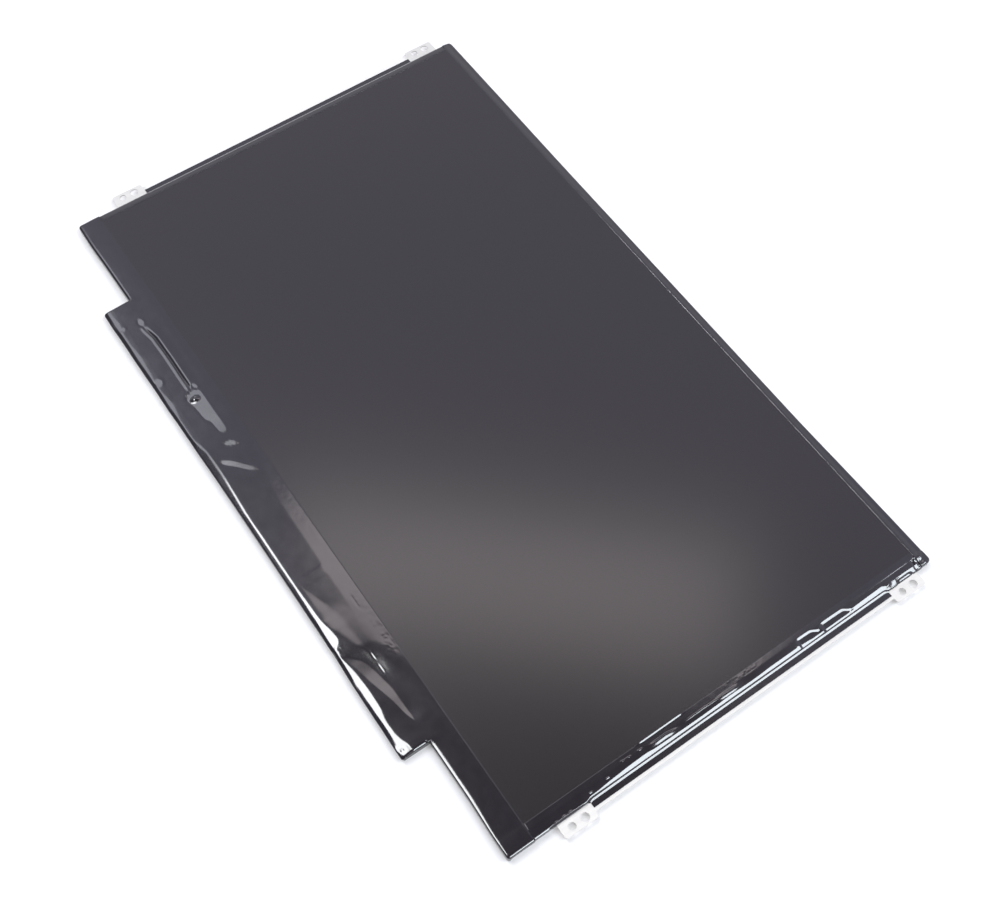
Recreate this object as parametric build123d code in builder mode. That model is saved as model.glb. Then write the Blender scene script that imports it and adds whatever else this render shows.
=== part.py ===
"""Slim 11.6-inch liquid-crystal screen module, lying on its back with the screen up.

Millimetres. The origin is the middle of the rear plate's back face, +X runs to the right along the long
side, +Y runs from the board strip to the far side, and +Z points out of the screen.
"""

import os

from build123d import *

# Rear plate, outside
panel_length = 267.6
panel_width = 158.1
corner_radius = 1.5
wall_height = 2.0

# Thickness of each layer, from the back to the front
plate = 0.3
reflector = 0.2
guide = 0.65
diffuser = 0.15
prism = 0.15
sheet_play = 0.05
lip = 0.45
bond_tape = 0.15
polariser = 0.2
glass = 0.4
tape = 0.2

# Mould frame section, and how far its lip reaches over the optical sheets
frame_wall = 1.2
rim_wall = 1.3
rim_height = 0.45
rim_chamfer = 0.3
side_lip = 2.5
far_lip = 1.5
bar_lip = 4.6

# Clearances inside the body
wall_gap = 0.1
sheet_gap = 0.2
glass_gap = 0.2
window_gap = 0.5
flex_gap = 0.05

# Snap hooks between frame and plate, on both long walls
hook_length = 8.0
hook_height = 0.6
hook_reach = 0.3
hook_z = 0.95
hook_gap = 0.15
hook_pitch = 66.0
hook_count = 4

# Locating tabs on the edges of the optical sheets
tab_length = 6.0
tab_reach = 0.8
tab_gap = 0.2
tab_pitch = 96.0

# Light bar along the board side: flex, diodes and the tail to the board
flex = 0.15
bar_width = 2.1
bar_end_gap = 3.0
diode_length = 3.8
diode_depth = 1.3
diode_height = 0.6
diode_window_length = 2.8
diode_window_height = 0.36
diode_window_depth = 0.3
diode_pitch = 8.6
diode_gap = 0.15
tail_x = 70.0
tail_width = 7.0
tail_gap = 0.3
tail_climb = 0.8
tail_entry = 1.7

# Glass cell: driver ledge, front film margins and bonding ring
ledge = 3.7
face_margin = 0.4
face_margin_right = 1.0
bond_width = 1.1
chip_length = 20.0
chip_width = 1.2
chip_height = 0.25
chip_setback = 0.8
chip_pitch = 56.0
chip_count = 4

# Border tapes: width of each from the body's taped edge, and how they fold over the shoulder
left_cover = 3.0
right_cover = 4.9
far_cover = 2.75
board_cover = 8.35
tape_air = 0.05
shoulder_rise = 0.15
shoulder_drop = 0.05
far_skirt_z = 0.6
roll_radius = 0.6

# Board strip beyond the body
strip_left = 94.7
strip_right = 94.2
strip_depth = 9.2
strip_roll_radius = 0.7
film = 0.2
board = 0.6
board_gap = 0.3
board_offset = 1.0
board_corner = 0.8
part_room = 1.1

# Flexes between glass ledge and board
link_pitch = 90.0
link_count = 2
link_width = 44.0
link_foot_width = 36.0
link_on_glass = 1.3
link_on_board = 1.8

# Signal connector on the back of the board, mouth at the strip's outer edge
socket_x = -52.0
socket_length = 20.6
socket_depth = 3.6
socket_height = 1.0
mouth_length = 18.0
mouth_height = 0.5
mouth_depth = 2.4
mouth_roof = 0.25
shell = 0.15
shell_depth = 3.0
contact_pitch = 0.5
contact_count = 30
contact_width = 0.25
contact_height = 0.12
contact_setback = 0.45
contact_slack = 0.02
contact_foot = 0.7
socket_gap = 0.3

# Light bar connector on the back of the board
bar_socket_wall = 1.0
bar_socket_depth = 3.2
bar_socket_height = 0.9
bar_socket_floor = 0.3
bar_socket_offset = 1.95
bar_socket_slack = 0.03

# Chips and passive parts on the back of the board
controller_size = 7.0
controller_height = 0.85
controller_x = -18.0
light_driver_size = 4.0
light_driver_height = 0.8
light_driver_x = 40.0
memory_size = 3.0
memory_height = 0.7
memory_x = -30.0
chip_pad = 0.1
inductor_size = 4.0
inductor_pitch = 5.6
inductor_count = 2
inductor_x = 50.0
inductor_core = 1.5
inductor_groove = 0.2
capacitor_length = 1.6
capacitor_width = 0.8
capacitor_height = 0.8
capacitor_pitch = 3.6
capacitor_count = 5
capacitor_rows = 4.0
capacitor_x = 16.0

# Side brackets: an angle rail with two ears, and two holes in each ear
sheet = 0.4
bend_radius = 0.6
web_low = 0.3
flange_drop = 0.45
rail_reach = 3.8
rail_bare = 1.0
ear_reach = 5.6
ear_length = 11.6
ear_corner = 0.9
ear_root = 0.5
far_ear_y = 68.2
near_ear_y = -57.5
hole_reach = 3.5
hole_spacing = 4.5
large_hole = 2.8
small_hole = 2.4
ledge_gap = 0.2

# Heights of the layers
guide_z = plate + reflector
lower_diffuser_z = guide_z + guide
lower_prism_z = lower_diffuser_z + diffuser
upper_prism_z = lower_prism_z + prism
upper_diffuser_z = upper_prism_z + prism
lip_z = upper_diffuser_z + diffuser + sheet_play
bond_z = lip_z + lip
array_z = bond_z + bond_tape
filter_z = array_z + glass
face_z = filter_z + glass
tape_z = face_z + polariser
rim_z = array_z + rim_height
low_rim_z = filter_z - flex_gap
flange_z = rim_z - flange_drop

# Outlines of frame, pocket and glass, centred on the body
frame_length = panel_length - 2 * (plate + wall_gap)
frame_width = panel_width - 2 * (plate + wall_gap)
frame_corner = corner_radius - plate - wall_gap
pocket_length = frame_length - 2 * frame_wall
pocket_width = frame_width - 2 * frame_wall
rim_length = frame_length - 2 * rim_wall
rim_width = frame_width - 2 * rim_wall
cell_length = rim_length - 2 * glass_gap
cell_width = rim_width - 2 * glass_gap

# Window inside the frame's lip
window_right = pocket_length / 2 - side_lip
window_low = -pocket_width / 2 + bar_lip
window_high = pocket_width / 2 - far_lip

# Light bar and the near edge of the sheets
bar_low = -pocket_width / 2 + sheet_gap
bar_high = bar_low + bar_width
bar_right = pocket_length / 2 - bar_end_gap
diode_count = int((2 * bar_right - diode_length) // diode_pitch) + 1
sheet_low = bar_high + diode_gap
sheet_high = pocket_width / 2 - sheet_gap
sheet_right = pocket_length / 2 - sheet_gap

# Edges of the front film
film_left = -cell_length / 2 + face_margin
film_right = cell_length / 2 - face_margin_right
film_high = cell_width / 2 - face_margin
filter_low = -cell_width / 2 + ledge
film_low = filter_low + face_margin

# Board strip: heights and edges
board_z = filter_z - board
strip_z = filter_z + flex
film_z = board_z - part_room - film
body_low = -panel_width / 2
strip_low = body_low - strip_depth
board_left = -strip_left + film + board_gap
board_right = strip_right - film - board_gap
board_low = strip_low + film + board_gap
board_high = body_low - board_offset
board_y = (board_low + board_high) / 2
chip_high = filter_low - chip_setback
tail_z = board_z - bar_socket_height + bar_socket_floor
bar_socket_high = board_high - bar_socket_offset

# Side brackets
body_right = panel_length / 2
rail_edge = body_right + rail_reach
ear_edge = body_right + ear_reach
rail_low = near_ear_y - ear_length / 2
rail_high = far_ear_y + ear_length / 2

os.makedirs("parts", exist_ok=True)


def save(piece, name):
    """Label a finished piece and write it."""
    piece.part.label = name
    export_step(piece.part, f"parts/{name}.step")


def outline(left, right, low, high):
    """A rectangle between its limits, in the current sketch."""
    with Locations(((left + right) / 2, (low + high) / 2)):
        Rectangle(right - left, high - low)


def block(left, right, low, high, bottom, top, mode=Mode.ADD):
    """A block between its limits, in the current part."""
    with Locations(((left + right) / 2, (low + high) / 2, (bottom + top) / 2)):
        Box(right - left, high - low, top - bottom, mode=mode)


# Rear plate: a folded tray with hook windows in its long walls and a slot for the light bar's tail
with BuildPart() as rear_plate:
    with BuildSketch():
        RectangleRounded(panel_length, panel_width, corner_radius)
    extrude(amount=wall_height)
    offset(amount=-plate, openings=rear_plate.faces().sort_by(Axis.Z)[-1])
    with BuildSketch(Plane.XZ.offset(-panel_width / 2)):
        with Locations((0, hook_z + hook_height / 2)):
            with GridLocations(hook_pitch, 0, hook_count, 1):
                Rectangle(hook_length + 2 * hook_gap, hook_height + 2 * hook_gap)
    extrude(amount=panel_width, mode=Mode.SUBTRACT)
    block(
        tail_x - tail_width / 2 - tail_gap,
        tail_x + tail_width / 2 + tail_gap,
        body_low,
        body_low + plate,
        tail_z - tail_gap,
        wall_height,
        mode=Mode.SUBTRACT,
    )
save(rear_plate, "rear_plate")

# Mould frame: a ring with a lip over the sheets, a rim round the glass and ramped hooks outside
with BuildPart() as mould_frame:
    with BuildSketch(Plane.XY.offset(plate)):
        RectangleRounded(frame_length, frame_width, frame_corner)
    extrude(amount=rim_z - plate)
    chamfer(mould_frame.faces().sort_by(Axis.Z)[-1].edges(), rim_chamfer)
    with BuildSketch(Plane.XY.offset(plate)):
        Rectangle(pocket_length, pocket_width)
        with GridLocations(pocket_length, tab_pitch, 2, 2):
            Rectangle(2 * tab_reach, tab_length + 2 * tab_gap)
    extrude(amount=lip_z - plate, mode=Mode.SUBTRACT)
    with BuildSketch(Plane.XY.offset(lip_z)):
        outline(-window_right, window_right, window_low, window_high)
    extrude(amount=lip, mode=Mode.SUBTRACT)
    with BuildSketch(Plane.XY.offset(bond_z)):
        Rectangle(rim_length, rim_width)
    extrude(amount=rim_z - bond_z, mode=Mode.SUBTRACT)
    block(-rim_length / 2, rim_length / 2, -frame_width / 2, -rim_width / 2, low_rim_z, rim_z, Mode.SUBTRACT)
    block(
        tail_x - tail_width / 2 - tail_gap,
        tail_x + tail_width / 2 + tail_gap,
        -frame_width / 2,
        -pocket_width / 2,
        plate,
        lip_z,
        mode=Mode.SUBTRACT,
    )
    hook_first = -hook_pitch * (hook_count - 1) / 2
    for i in range(hook_count):
        with BuildSketch(Plane.YZ.offset(hook_first + i * hook_pitch)):
            with BuildLine():
                Polyline(
                    (frame_width / 2, hook_z),
                    (frame_width / 2 + hook_reach, hook_z + hook_height),
                    (frame_width / 2, hook_z + hook_height),
                    close=True,
                )
            make_face()
            mirror(about=Plane.YZ)
        extrude(amount=hook_length / 2, both=True)
save(mould_frame, "mould_frame")

# Optical sheets, each with locating tabs that sit in the frame's notches
sheet_stack = (
    ("reflector_sheet", plate, reflector),
    ("light_guide_plate", guide_z, guide),
    ("lower_diffuser", lower_diffuser_z, diffuser),
    ("lower_prism_sheet", lower_prism_z, prism),
    ("upper_prism_sheet", upper_prism_z, prism),
    ("upper_diffuser", upper_diffuser_z, diffuser),
)
for name, bottom, thickness in sheet_stack:
    with BuildPart() as optical_sheet:
        with BuildSketch(Plane.XY.offset(bottom)):
            outline(-sheet_right, sheet_right, sheet_low, sheet_high)
            with GridLocations(2 * sheet_right, tab_pitch, 2, 2):
                Rectangle(2 * tab_reach, tab_length)
        extrude(amount=thickness)
    save(optical_sheet, name)

# Light bar flex: a long strip in front of the guide, with a tail that climbs out to the board
with BuildPart() as light_bar_flex:
    block(-bar_right, bar_right, bar_low, bar_high, plate, plate + flex)
    with BuildSketch(Plane.YZ.offset(tail_x)):
        with BuildLine():
            Polyline(
                (bar_low, plate),
                (bar_low - tail_climb, plate),
                (bar_low - tail_climb, tail_z),
                (bar_socket_high - tail_entry, tail_z),
            )
            offset(amount=flex, kind=Kind.INTERSECTION, side=Side.RIGHT)
        make_face()
    extrude(amount=tail_width / 2, both=True)
save(light_bar_flex, "light_bar_flex")

# Side-view diodes on the flex, their windows towards the guide's edge
with BuildPart() as light_bar_leds:
    with BuildSketch(Plane.XY.offset(plate + flex)):
        with Locations((0, bar_high - diode_depth / 2)):
            with GridLocations(diode_pitch, 0, diode_count, 1):
                Rectangle(diode_length, diode_depth)
    extrude(amount=diode_height)
    with BuildSketch(Plane.XZ.offset(-bar_high)):
        with Locations((0, plate + flex + diode_height / 2)):
            with GridLocations(diode_pitch, 0, diode_count, 1):
                Rectangle(diode_window_length, diode_window_height)
    extrude(amount=diode_window_depth, mode=Mode.SUBTRACT)
save(light_bar_leds, "light_bar_leds")

# Bonding ring between the frame's lip and the glass
with BuildPart() as cell_tape:
    with BuildSketch(Plane.XY.offset(bond_z)):
        Rectangle(cell_length, cell_width)
        Rectangle(cell_length - 2 * bond_width, cell_width - 2 * bond_width, mode=Mode.SUBTRACT)
    extrude(amount=bond_tape)
save(cell_tape, "cell_tape")

# Rear polariser, inside the window and against the back of the array glass
with BuildPart() as rear_polariser:
    with BuildSketch(Plane.XY.offset(array_z - polariser)):
        outline(
            window_gap - window_right,
            window_right - window_gap,
            window_low + window_gap,
            window_high - window_gap,
        )
    extrude(amount=polariser)
save(rear_polariser, "rear_polariser")

# Array glass, with a ledge beyond the filter glass on the board side
with BuildPart() as array_glass:
    with BuildSketch(Plane.XY.offset(array_z)):
        Rectangle(cell_length, cell_width)
    extrude(amount=glass)
save(array_glass, "array_glass")

# Colour filter glass
with BuildPart() as filter_glass:
    with BuildSketch(Plane.XY.offset(filter_z)):
        outline(-cell_length / 2, cell_length / 2, filter_low, cell_width / 2)
    extrude(amount=glass)
save(filter_glass, "filter_glass")

# Front polariser: the matte film that is the face of the screen
with BuildPart() as front_polariser:
    with BuildSketch(Plane.XY.offset(face_z)):
        outline(film_left, film_right, film_low, film_high)
    extrude(amount=polariser)
save(front_polariser, "front_polariser")

# Driver chips bonded on the glass ledge
with BuildPart() as driver_chips:
    with BuildSketch(Plane.XY.offset(filter_z)):
        with Locations((0, chip_high - chip_width / 2)):
            with GridLocations(chip_pitch, 0, chip_count, 1):
                Rectangle(chip_length, chip_width)
    extrude(amount=chip_height)
save(driver_chips, "driver_chips")

# Flexes from the ledge to the board, narrower at the board
with BuildPart() as board_flexes:
    link_high = -cell_width / 2 + link_on_glass
    link_low = board_high - link_on_board
    with BuildSketch(Plane.XY.offset(filter_z)):
        with GridLocations(link_pitch, 0, link_count, 1):
            Polygon(
                (-link_width / 2, link_high),
                (-link_width / 2, body_low),
                (-link_foot_width / 2, board_high),
                (-link_foot_width / 2, link_low),
                (link_foot_width / 2, link_low),
                (link_foot_width / 2, board_high),
                (link_width / 2, body_low),
                (link_width / 2, link_high),
                align=None,
            )
    extrude(amount=flex)
save(board_flexes, "board_flexes")

# Driver board in the strip, level with the glass ledge
with BuildPart() as driver_board:
    with BuildSketch(Plane.XY.offset(board_z)):
        with Locations(((board_left + board_right) / 2, board_y)):
            RectangleRounded(board_right - board_left, board_high - board_low, board_corner)
    extrude(amount=board)
save(driver_board, "driver_board")


def chip_on_board(name, x, size, height):
    """A flat square chip on the back of the board, its body bevelled away from the pads."""
    with BuildPart() as chip:
        block(x - size / 2, x + size / 2, board_y - size / 2, board_y + size / 2, board_z - height, board_z)
        chamfer(chip.faces().sort_by(Axis.Z)[0].edges(), chip_pad)
    save(chip, name)


chip_on_board("timing_controller", controller_x, controller_size, controller_height)
chip_on_board("light_driver_chip", light_driver_x, light_driver_size, light_driver_height)
chip_on_board("memory_chip", memory_x, memory_size, memory_height)

# Shielded inductors: the tallest parts, resting on the cover film, with a round core face
with BuildPart() as power_inductors:
    with BuildSketch(Plane.XY.offset(board_z)):
        with Locations((inductor_x, board_y)):
            with GridLocations(inductor_pitch, 0, inductor_count, 1):
                Rectangle(inductor_size, inductor_size)
    extrude(amount=-part_room)
    with BuildSketch(Plane.XY.offset(board_z - part_room)):
        with Locations((inductor_x, board_y)):
            with GridLocations(inductor_pitch, 0, inductor_count, 1):
                Circle(inductor_core + inductor_groove)
                Circle(inductor_core, mode=Mode.SUBTRACT)
    extrude(amount=inductor_groove, mode=Mode.SUBTRACT)
save(power_inductors, "power_inductors")

# Capacitors in two rows
with BuildPart() as board_capacitors:
    with BuildSketch(Plane.XY.offset(board_z)):
        with Locations((capacitor_x, board_y)):
            with GridLocations(capacitor_pitch, capacitor_rows, capacitor_count, 2):
                Rectangle(capacitor_length, capacitor_width)
    extrude(amount=-capacitor_height)
save(board_capacitors, "board_capacitors")

# Light bar connector, its slot towards the body
with BuildPart() as light_bar_connector:
    bar_socket_right = tail_x + tail_width / 2 + bar_socket_wall
    block(
        2 * tail_x - bar_socket_right,
        bar_socket_right,
        bar_socket_high - bar_socket_depth,
        bar_socket_high,
        board_z - bar_socket_height,
        board_z,
    )
    block(
        tail_x - tail_width / 2 - bar_socket_slack,
        tail_x + tail_width / 2 + bar_socket_slack,
        bar_socket_high - tail_entry - bar_socket_slack,
        bar_socket_high,
        tail_z,
        tail_z + flex + bar_socket_slack,
        mode=Mode.SUBTRACT,
    )
save(light_bar_connector, "light_bar_connector")

# Signal connector housing: a low block with a wide mouth and one channel for each contact
socket_high = board_low + socket_depth
socket_z = board_z - socket_height
mouth_z = board_z - mouth_roof
contact_low = board_low + contact_setback
with BuildPart() as signal_connector:
    block(
        socket_x - socket_length / 2,
        socket_x + socket_length / 2,
        board_low,
        socket_high,
        socket_z,
        board_z,
    )
    block(
        socket_x - mouth_length / 2,
        socket_x + mouth_length / 2,
        board_low,
        board_low + mouth_depth,
        mouth_z - mouth_height,
        mouth_z,
        mode=Mode.SUBTRACT,
    )
    with BuildSketch(Plane.XY.offset(mouth_z)):
        with Locations((socket_x, (contact_low - contact_slack + socket_high) / 2)):
            with GridLocations(contact_pitch, 0, contact_count, 1):
                Rectangle(contact_width + 2 * contact_slack, socket_high - contact_low + contact_slack)
    extrude(amount=contact_height + contact_slack, mode=Mode.SUBTRACT)
save(signal_connector, "signal_connector")

# Metal shell of the signal connector: a channel under and beside the housing
with BuildPart() as connector_shell:
    with BuildSketch(Plane.XZ.offset(-board_low - shell_depth)):
        with BuildLine():
            Polyline(
                (socket_x - socket_length / 2, board_z),
                (socket_x - socket_length / 2, socket_z),
                (socket_x + socket_length / 2, socket_z),
                (socket_x + socket_length / 2, board_z),
            )
            offset(amount=shell, kind=Kind.INTERSECTION, side=Side.RIGHT)
        make_face()
    extrude(amount=shell_depth)
save(connector_shell, "connector_shell")

# Contacts: a blade under the mouth's roof and a foot up to the board behind the housing
with BuildPart() as connector_contacts:
    contact_first = socket_x - contact_pitch * (contact_count - 1) / 2
    for i in range(contact_count):
        with BuildSketch(Plane.YZ.offset(contact_first + i * contact_pitch)):
            outline(contact_low, socket_high + contact_foot, mouth_z, mouth_z + contact_height)
            outline(socket_high + contact_slack, socket_high + contact_foot, mouth_z, board_z)
        extrude(amount=contact_width / 2, both=True)
save(connector_contacts, "connector_contacts")

# Cover film behind the board: a shallow tray, open at the signal connector
with BuildPart() as board_cover_film:
    block(-strip_left, strip_right, strip_low, body_low, film_z, strip_z)
    film_top_edges = board_cover_film.edges().filter_by(Axis.X).group_by(Axis.Z)[-1]
    fillet(film_top_edges.sort_by(Axis.Y)[0], strip_roll_radius)
    block(
        film - strip_left,
        strip_right - film,
        strip_low + film,
        body_low,
        film_z + film,
        strip_z,
        mode=Mode.SUBTRACT,
    )
    block(
        socket_x - socket_length / 2 - shell - socket_gap,
        socket_x + socket_length / 2 + shell + socket_gap,
        strip_low,
        socket_high + socket_gap,
        film_z,
        board_z,
        mode=Mode.SUBTRACT,
    )
save(board_cover_film, "board_cover_film")

# Side brackets: an angle rail against the plate's wall, ears at its ends and two holes in each ear
with BuildPart() as right_bracket:
    with BuildSketch(Plane.XZ.offset(-rail_high)):
        with BuildLine():
            FilletPolyline(
                (body_right, web_low),
                (body_right, flange_z),
                (rail_edge, flange_z),
                radius=bend_radius,
            )
            offset(amount=sheet, side=Side.RIGHT)
        make_face()
    extrude(amount=rail_high - rail_low)
    for ear_y in (far_ear_y, near_ear_y):
        with BuildSketch(Plane.XY.offset(flange_z - sheet)):
            outline(body_right + bend_radius, ear_edge, ear_y - ear_length / 2, ear_y + ear_length / 2)
        extrude(amount=sheet)
    fillet(right_bracket.edges().filter_by(Axis.Z).group_by(Axis.X)[-1], ear_corner)
    root_edges = right_bracket.edges().filter_by(Axis.Z).filter_by_position(
        Axis.X, rail_edge - ear_root, rail_edge + ear_root
    )
    inner_roots = root_edges.filter_by_position(Axis.Y, rail_low + ear_root, rail_high - ear_root)
    fillet(inner_roots, ear_root)
    for ear_y in (far_ear_y, near_ear_y):
        with Locations((body_right + hole_reach, ear_y + hole_spacing / 2, flange_z)):
            Hole(large_hole / 2)
        with Locations((body_right + hole_reach, ear_y - hole_spacing / 2, flange_z)):
            Hole(small_hole / 2)
save(right_bracket, "right_bracket")

with BuildPart() as left_bracket:
    add(right_bracket.part)
    mirror(about=Plane.YZ, mode=Mode.REPLACE)
save(left_bracket, "left_bracket")

# Side tapes: from the face over the shoulder, and between the ears on along the bracket's flange
tape_low = body_low - tape + board_cover
tape_high = panel_width / 2 + tape - far_cover
ledge_edge = rail_edge - rail_bare
ledge_low = near_ear_y + ear_length / 2 + ledge_gap
ledge_high = far_ear_y - ear_length / 2 - ledge_gap


def side_tape(name, cover, film_edge, side):
    """A border tape for one short side, drawn at the right and mirrored for the left."""
    over_shoulder = (
        (body_right + tape - cover, tape_z),
        (film_edge, tape_z),
        (frame_length / 2, rim_z + shoulder_rise),
        (body_right, rim_z - shoulder_drop),
        (body_right, flange_z),
    )
    with BuildPart() as border_tape:
        with BuildSketch(Plane.XZ.offset(-tape_high)):
            with BuildLine():
                Polyline(*over_shoulder)
                offset(amount=tape, kind=Kind.INTERSECTION, side=Side.LEFT)
            make_face()
        extrude(amount=tape_high - tape_low)
        block(body_right, ledge_edge, ledge_low, ledge_high, flange_z, flange_z + tape)
        if side < 0:
            mirror(about=Plane.YZ, mode=Mode.REPLACE)
    save(border_tape, name)


side_tape("right_tape", right_cover, film_right, 1)
side_tape("left_tape", left_cover, -film_left, -1)

# Far tape: over the far edge and down the plate's wall
with BuildPart() as far_tape:
    with BuildSketch(Plane.YZ.offset(-body_right - tape)):
        with BuildLine():
            Polyline(
                (tape_high, tape_z),
                (film_high, tape_z),
                (frame_width / 2, rim_z + shoulder_rise),
                (panel_width / 2, rim_z - shoulder_drop),
                (panel_width / 2, far_skirt_z),
            )
            offset(amount=tape, kind=Kind.INTERSECTION, side=Side.LEFT)
        make_face()
    extrude(amount=2 * (body_right + tape))
save(far_tape, "far_tape")

# Board tape: from the face down over the driver ledge, then over the board strip with a rolled outer
# edge, and beside the strip down the plate's wall
over_ledge = (
    (tape_low, tape_z),
    (film_low, tape_z),
    (chip_high - chip_width, filter_z + chip_height + tape_air),
    (body_low + roll_radius, strip_z),
)
with BuildPart() as board_tape:
    for left, right in ((-body_right - tape, -strip_left), (strip_right, body_right + tape)):
        with BuildSketch(Plane.YZ.offset(left)):
            with BuildLine():
                Polyline(*over_ledge)
                RadiusArc((body_low + roll_radius, strip_z), (body_low, strip_z - roll_radius), -roll_radius)
                Line((body_low, strip_z - roll_radius), (body_low, far_skirt_z))
                offset(amount=tape, kind=Kind.INTERSECTION, side=Side.RIGHT)
            make_face()
        extrude(amount=right - left)
    with BuildSketch(Plane.YZ.offset(-strip_left)):
        with BuildLine():
            Polyline(*over_ledge, (strip_low + strip_roll_radius, strip_z))
            RadiusArc(
                (strip_low + strip_roll_radius, strip_z),
                (strip_low, strip_z - strip_roll_radius),
                -strip_roll_radius,
            )
            Line((strip_low, strip_z - strip_roll_radius), (strip_low, board_z))
            offset(amount=tape, kind=Kind.INTERSECTION, side=Side.RIGHT)
        make_face()
    extrude(amount=strip_left + strip_right)
save(board_tape, "board_tape")
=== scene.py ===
"""Looks of a slim liquid-crystal screen module that lies on its back.

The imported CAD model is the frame, in metres. Sizes and places here are millimetres in that frame: +X runs
along the long side, +Y from the board strip to the far side, and +Z out of the screen.
"""

import math

import bpy
import numpy as np
from mathutils import Matrix, Quaternion, Vector


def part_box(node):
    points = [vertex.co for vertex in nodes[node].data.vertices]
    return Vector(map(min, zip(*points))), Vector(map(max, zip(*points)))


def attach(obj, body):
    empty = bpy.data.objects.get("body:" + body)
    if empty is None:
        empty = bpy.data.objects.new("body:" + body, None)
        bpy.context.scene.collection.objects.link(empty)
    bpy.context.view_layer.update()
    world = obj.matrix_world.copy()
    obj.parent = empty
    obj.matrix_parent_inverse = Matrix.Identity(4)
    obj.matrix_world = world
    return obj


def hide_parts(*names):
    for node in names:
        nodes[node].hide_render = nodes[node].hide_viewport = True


MM = 0.001

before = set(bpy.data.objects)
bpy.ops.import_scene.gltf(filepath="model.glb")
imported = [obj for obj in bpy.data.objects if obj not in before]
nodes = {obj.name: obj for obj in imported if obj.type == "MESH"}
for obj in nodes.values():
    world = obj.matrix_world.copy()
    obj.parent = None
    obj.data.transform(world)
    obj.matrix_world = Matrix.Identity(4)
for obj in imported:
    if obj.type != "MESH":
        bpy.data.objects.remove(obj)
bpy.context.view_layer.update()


def span(node):
    """Lowest and highest corner of a CAD node, in millimetres."""
    return [np.array(corner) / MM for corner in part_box(node)]


# Places taken from the CAD model
plate_low, plate_high = span("rear_plate")
face_low, face_high = span("front_polariser")
film_low, film_high = span("board_cover_film")
board_low, board_high = span("board_tape")
right_low, right_high = span("right_tape")
left_high = span("left_tape")[1]
far_low, far_high = span("far_tape")
rail_low, rail_high = span("right_bracket")

TAPE = far_high[1] - plate_high[1]
TAPE_TOP = board_high[2]
BODY_X = far_high[0]
BODY_NEAR = plate_low[1] - TAPE
BODY_FAR = far_high[1]
EAR_LENGTH = 11.6
EAR_GAP = 0.2
LEDGE_TOP = rail_high[2] + TAPE
LEDGE_NEAR = rail_low[1] + EAR_LENGTH + EAR_GAP
LEDGE_FAR = rail_high[1] - EAR_LENGTH - EAR_GAP

# Tape film: thickness of the visible sheet, rolled edges and hems
SHEET = 0.08
BODY_ROLL = 0.6
SIDE_ROLL = 0.45
STRIP_ROLL = 0.45
LEDGE_ROLL = 0.05
END_ROLL = 0.35
RIGHT_BULGE = 1.0
LEFT_LEDGE = 136.0
CORNER = 0.5
STRIP_CORNER = 0.4
ROLL_STEPS = 6
HEM_STEPS = 2
BODY_HEM = 0.6
SIDE_HEM = 1.7
STRIP_HEM = 2.1

# Lip along the tapes' inner edges, where the film settles onto the screen's face
BOARD_LIP = 0.18
SIDE_LIP = 0.12
FAR_LIP = 0.16
LIP_TILT = 18.0
FAR_LIP_TILT = 22.5
FILM_LIFT = 0.01
SIDE_TOP = face_high[2] + SHEET + FILM_LIFT

# Where the rolled edges at the panel's two ends begin
left_inset = BODY_X - BODY_ROLL
right_inset = BODY_X + RIGHT_BULGE - SIDE_ROLL

# Mesh steps of the films
BODY_STEP = 0.5
STRIP_STEP = 0.45
STRIP_ROW = 0.22
BODY_ROW = 0.3
LIP_ROW = 0.08
SIDE_STEP = 0.12
SIDE_ROW = 0.4
FAR_STEP = 0.6
FAR_ROW = 0.25
FINE_ROW = 0.05

# Slack when places are compared with an edge
NEAR = 0.01


def tan(degrees):
    return np.tan(np.radians(degrees))


def ramp(t, soft=0.25):
    """0 to 1 over t from 0 to 1, straight in the middle and rounded at its two ends."""
    t = np.clip(t, 0, 1)
    peak = 1 / (1 - soft)
    start = peak * t * t / (2 * soft)
    middle = peak * (t - soft / 2)
    end = 1 - peak * (1 - t) ** 2 / (2 * soft)
    return np.where(t < soft, start, np.where(t < 1 - soft, middle, end))


def line(*keys):
    """A smooth curve through (place, value) keys that never overshoots them, as a function of the place."""
    places, values = np.array(keys, float).T
    rates = np.diff(values) / np.diff(places)
    turning = rates[:-1] * rates[1:] <= 0
    sums = np.where(turning, 1, rates[:-1] + rates[1:])
    slopes = np.concatenate([[0], np.where(turning, 0, 2 * rates[:-1] * rates[1:] / sums), [0]])

    def at(p):
        p = np.clip(p, places[0], places[-1])
        i = np.clip(np.searchsorted(places, p) - 1, 0, len(places) - 2)
        gap = places[i + 1] - places[i]
        t = (p - places[i]) / gap
        low, high = values[i], values[i + 1]
        curve = low + (high - low) * t * t * (3 - 2 * t)
        return curve + gap * (slopes[i] * t * (1 - t) ** 2 - slopes[i + 1] * t * t * (1 - t))

    return at


def between(value, low, high, soft):
    """1 inside the limits and 0 outside, easing over soft on each side."""
    return ramp((value - low) / soft + 0.5) * ramp((high - value) / soft + 0.5)


def ripple(x, y, scale, seed):
    """Smooth random waves between about -1 and 1, one knot every scale."""
    size = 64
    knots = np.random.default_rng(seed).uniform(-1, 1, (size, size))
    u, v = np.asarray(x) / scale + 0.37, np.asarray(y) / scale + 0.61
    i, j = np.floor(u).astype(int), np.floor(v).astype(int)
    s, t = u - i, v - j
    s, t = s * s * (3 - 2 * s), t * t * (3 - 2 * t)
    near = knots[i % size, j % size] * (1 - s) + knots[(i + 1) % size, j % size] * s
    far = knots[i % size, (j + 1) % size] * (1 - s) + knots[(i + 1) % size, (j + 1) % size] * s
    return near * (1 - t) + far * t


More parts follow.
